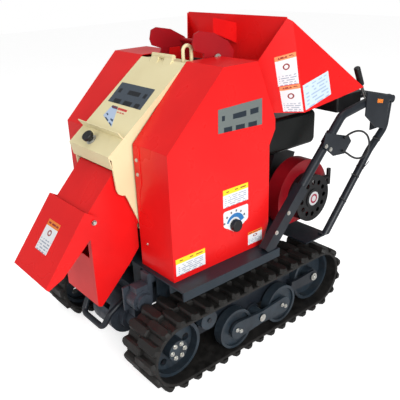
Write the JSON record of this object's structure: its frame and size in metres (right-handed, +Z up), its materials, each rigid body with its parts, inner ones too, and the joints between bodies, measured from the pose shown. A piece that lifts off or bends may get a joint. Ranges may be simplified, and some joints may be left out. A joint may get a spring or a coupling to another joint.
{
  "type": "crawler wood chipper",
  "caption": "Walk-behind wood chipper on rubber crawlers, with tall red side covers, hinged cream rotor lid, front discharge chute and rear feed hopper.",
  "frame": {"origin": "on the ground under the middle of the overall box", "axes": "+Z up, +X to the machine's left, -Y to the front where the discharge chute is, +Y to the handle"},
  "size_m": [0.804, 1.517, 1.154],
  "materials": {
    "red_paint": "glossy red powder coat",
    "arm_paint": "darker red paint",
    "cream_paint": "satin cream powder coat",
    "slate_paint": "dark blue-grey paint",
    "charcoal_paint": "charcoal paint",
    "track_rubber": "moulded black rubber",
    "roller_paint": "dark grey painted wheels",
    "cast_housing": "grey casting",
    "pump_steel": "machined housing",
    "machined_steel": "bright steel",
    "rotor_iron": "worn iron",
    "shroud_paint": "dark red paint",
    "black_plastic": "moulded black plastic",
    "tank_plastic": "glossy black plastic",
    "muffler_steel": "heat-stained steel",
    "cable_rubber": "black cable sheath"
  },
  "bodies": {
    "chassis": {"base_frame": "slate_paint", "rear_platform": "charcoal_paint", "transmission_case": "cast_housing", "travel_pump": "pump_steel", "front_guard": "charcoal_paint", "chipper_housing": "cream_paint", "rotor_bearings": "pump_steel", "bed_knife": "machined_steel", "drive_belt": "track_rubber", "discharge_chute": "red_paint", "feed_hopper": "red_paint", "feed_throat": "red_paint", "roller_guard": "red_paint", "lifting_eye": "machined_steel", "engine_block": "cast_housing", "engine_shroud": "shroud_paint", "recoil_housing": "black_plastic", "fuel_tank": "tank_plastic", "muffler": "muffler_steel", "belt_guard": "red_paint", "handle_crossbar": "charcoal_paint", "handle_plates": "charcoal_paint", "control_box": "black_plastic", "bracket_cable": "cable_rubber", "left_side_cover": "red_paint", "right_side_cover": "red_paint", "rubber_track_left": "track_rubber", "rubber_track_right": "track_rubber", "track_frame_left": "charcoal_paint", "track_frame_right": "charcoal_paint", "handle_strut_left": "charcoal_paint", "handle_strut_right": "charcoal_paint", "rear_strut_left": "charcoal_paint", "rear_strut_right": "charcoal_paint"},
    "rotor": {"rotor_shaft": "machined_steel", "rotor_drum": "rotor_iron", "rotor_knives": "machined_steel"},
    "crank": {"crankshaft": "machined_steel"},
    "swing_arm": {"feed_arm": "arm_paint"},
    "feed_roller_body": {"feed_roller": "rotor_iron"},
    "lid": {"rotor_lid": "cream_paint"},
    "knob": {"lid_knob": "black_plastic"},
    "flap": {"chute_flap": "red_paint"},
    "dial": {"speed_dial": "black_plastic"},
    "lever": {"clutch_lever": "machined_steel", "lever_grip": "black_plastic"},
    "starter": {"starter_grip": "black_plastic"},
    "cap": {"fuel_cap": "black_plastic"},
    "left_sprocket": {"drive_sprocket_left": "roller_paint"},
    "left_idler": {"idler_wheel_left": "roller_paint"},
    "left_carrier": {"carrier_roller_left": "roller_paint"},
    "left_bogie": {"bogie_left": "roller_paint"},
    "left_front_roller": {"track_roller_front_left": "roller_paint"},
    "left_rear_roller": {"track_roller_rear_left": "roller_paint"},
    "right_sprocket": {"drive_sprocket_right": "roller_paint"},
    "right_idler": {"idler_wheel_right": "roller_paint"},
    "right_carrier": {"carrier_roller_right": "roller_paint"},
    "right_bogie": {"bogie_right": "roller_paint"},
    "right_front_roller": {"track_roller_front_right": "roller_paint"},
    "right_rear_roller": {"track_roller_rear_right": "roller_paint"}
  },
  "joints": [
    {"name": "rotor_spin", "type": "hinge", "parent": "chassis", "child": "rotor", "pos_m": [0, -0.2605, 0.76], "axis": [1, 0, 0], "continuous": true},
    {"name": "crank_spin", "type": "hinge", "parent": "chassis", "child": "crank", "pos_m": [0, 0.3395, 0.44], "axis": [1, 0, 0], "continuous": true},
    {"name": "feed_arm_swing", "type": "hinge", "parent": "chassis", "child": "swing_arm", "pos_m": [0, -0.0205, 1.026], "axis": [1, 0, 0], "range_deg": [0, 16]},
    {"name": "feed_roller_spin", "type": "hinge", "parent": "swing_arm", "child": "feed_roller_body", "pos_m": [0, 0.0595, 0.935], "axis": [1, 0, 0], "continuous": true},
    {"name": "lid_hinge", "type": "hinge", "parent": "chassis", "child": "lid", "pos_m": [0, -0.1585, 1.04], "axis": [1, 0, 0], "range_deg": [-70, 0]},
    {"name": "lid_knob_turn", "type": "hinge", "parent": "lid", "child": "knob", "pos_m": [-0.02, -0.46292, 0.79759], "axis": [0, -0.6081, 0.7939], "continuous": true},
    {"name": "flap_tilt", "type": "hinge", "parent": "chassis", "child": "flap", "pos_m": [0, -0.5655, 0.572], "axis": [1, 0, 0], "range_deg": [-35, 15]},
    {"name": "speed_dial_turn", "type": "hinge", "parent": "chassis", "child": "dial", "pos_m": [0.315, -0.1235, 0.484], "axis": [1, 0, 0], "range_deg": [-120, 120]},
    {"name": "clutch_lever_swing", "type": "hinge", "parent": "chassis", "child": "lever", "pos_m": [0.305, 0.6915, 0.707], "axis": [1, 0, 0], "range_deg": [-25, 0]},
    {"name": "starter_pull", "type": "slide", "parent": "chassis", "child": "starter", "axis": [0, 1, 0], "range_m": [0, 0.06], "stiffness_N_per_m": 80, "springref_m": -0.02},
    {"name": "fuel_cap_turn", "type": "hinge", "parent": "chassis", "child": "cap", "pos_m": [0.03, 0.3195, 0.757], "axis": [0, 0, 1], "continuous": true},
    {"name": "left_sprocket_spin", "type": "hinge", "parent": "chassis", "child": "left_sprocket", "pos_m": [0.312, -0.4345, 0.135], "axis": [1, 0, 0], "continuous": true},
    {"name": "left_idler_spin", "type": "hinge", "parent": "chassis", "child": "left_idler", "pos_m": [0.312, 0.2705, 0.135], "axis": [1, 0, 0], "continuous": true},
    {"name": "left_carrier_spin", "type": "hinge", "parent": "chassis", "child": "left_carrier", "pos_m": [0.364, -0.3085, 0.205], "axis": [1, 0, 0], "continuous": true},
    {"name": "left_bogie_rock", "type": "hinge", "parent": "chassis", "child": "left_bogie", "pos_m": [0.36, -0.0615, 0.107], "axis": [1, 0, 0], "range_deg": [-4, 4], "deforming": ["rubber_track_left"]},
    {"name": "left_front_roller_spin", "type": "hinge", "parent": "left_bogie", "child": "left_front_roller", "pos_m": [0.364, -0.1805, 0.107], "axis": [1, 0, 0], "continuous": true},
    {"name": "left_rear_roller_spin", "type": "hinge", "parent": "left_bogie", "child": "left_rear_roller", "pos_m": [0.364, 0.0575, 0.107], "axis": [1, 0, 0], "continuous": true},
    {"name": "right_sprocket_spin", "type": "hinge", "parent": "chassis", "child": "right_sprocket", "pos_m": [-0.312, -0.4345, 0.135], "axis": [1, 0, 0], "continuous": true},
    {"name": "right_idler_spin", "type": "hinge", "parent": "chassis", "child": "right_idler", "pos_m": [-0.312, 0.2705, 0.135], "axis": [1, 0, 0], "continuous": true},
    {"name": "right_carrier_spin", "type": "hinge", "parent": "chassis", "child": "right_carrier", "pos_m": [-0.364, -0.3085, 0.205], "axis": [1, 0, 0], "continuous": true},
    {"name": "right_bogie_rock", "type": "hinge", "parent": "chassis", "child": "right_bogie", "pos_m": [-0.36, -0.0615, 0.107], "axis": [1, 0, 0], "range_deg": [-4, 4], "deforming": ["rubber_track_right"]},
    {"name": "right_front_roller_spin", "type": "hinge", "parent": "right_bogie", "child": "right_front_roller", "pos_m": [-0.364, -0.1805, 0.107], "axis": [1, 0, 0], "continuous": true},
    {"name": "right_rear_roller_spin", "type": "hinge", "parent": "right_bogie", "child": "right_rear_roller", "pos_m": [-0.364, 0.0575, 0.107], "axis": [1, 0, 0], "continuous": true}
  ],
  "couplings": [
    {"joint": "crank_spin", "follows": "rotor_spin", "ratio": 1.6415},
    {"joint": "left_idler_spin", "follows": "left_sprocket_spin", "ratio": 1},
    {"joint": "left_carrier_spin", "follows": "left_sprocket_spin", "ratio": 3.0173},
    {"joint": "left_front_roller_spin", "follows": "left_sprocket_spin", "ratio": 1.3651},
    {"joint": "left_rear_roller_spin", "follows": "left_sprocket_spin", "ratio": 1.3651},
    {"joint": "right_idler_spin", "follows": "right_sprocket_spin", "ratio": 1},
    {"joint": "right_carrier_spin", "follows": "right_sprocket_spin", "ratio": 3.0173},
    {"joint": "right_front_roller_spin", "follows": "right_sprocket_spin", "ratio": 1.3651},
    {"joint": "right_rear_roller_spin", "follows": "right_sprocket_spin", "ratio": 1.3651}
  ]
}
